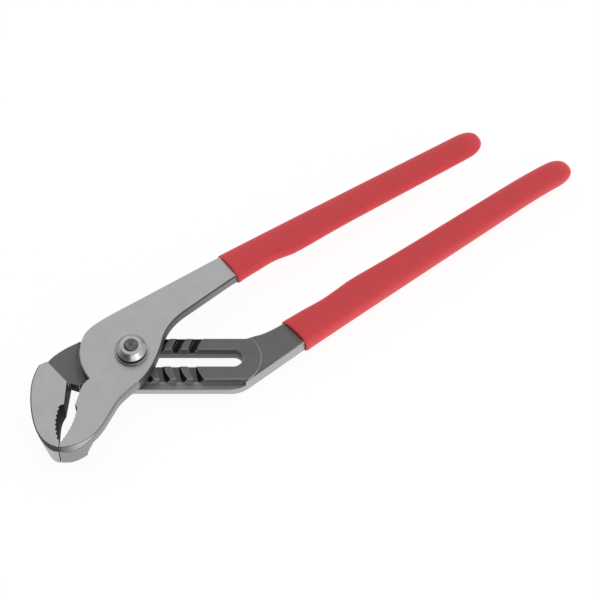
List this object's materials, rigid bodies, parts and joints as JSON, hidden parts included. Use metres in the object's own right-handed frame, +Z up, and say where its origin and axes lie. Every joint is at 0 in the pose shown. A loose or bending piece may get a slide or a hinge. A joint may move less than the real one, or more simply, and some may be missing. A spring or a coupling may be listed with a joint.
{
  "type": "water pump pliers",
  "caption": "Groove-joint water pump pliers with angled toothed jaws, a slotted and grooved adjustment bar with a sliding pivot bolt, and dipped soft grips on both handles",
  "frame": {"origin": "on the pivot bolt's axis at the flat back of its head, with the bolt in the first setting and the jaws closed", "axes": "+X along the slot towards the handles, +Y across the slot towards the upper handle, +Z up from the bolt head to the nut"},
  "size_m": [0.2676, 0.1814, 0.0257],
  "materials": {
    "forged_steel": "as forged, dark grey, with ground sides",
    "ground_steel": "ground, satin",
    "satin_steel": "turned, satin",
    "dark_steel": "dark, oiled",
    "soft_grip": "dipped soft vinyl, satin red"
  },
  "bodies": {
    "lower": {"lower_lever": "forged_steel", "lower_grip": "soft_grip"},
    "carriage": {"pivot_bolt": "dark_steel", "pivot_washer": "ground_steel", "pivot_nut": "satin_steel"},
    "upper": {"upper_lever": "ground_steel", "upper_grip": "soft_grip"}
  },
  "joints": [
    {"name": "jaw_setting", "type": "slide", "parent": "lower", "child": "carriage", "axis": [1, 0, 0], "range_m": [0, 0.0486]},
    {"name": "jaw_opening", "type": "hinge", "parent": "carriage", "child": "upper", "pos_m": [0, 0, 0.016], "axis": [0, 0, 1], "range_deg": [0, 65]}
  ]
}
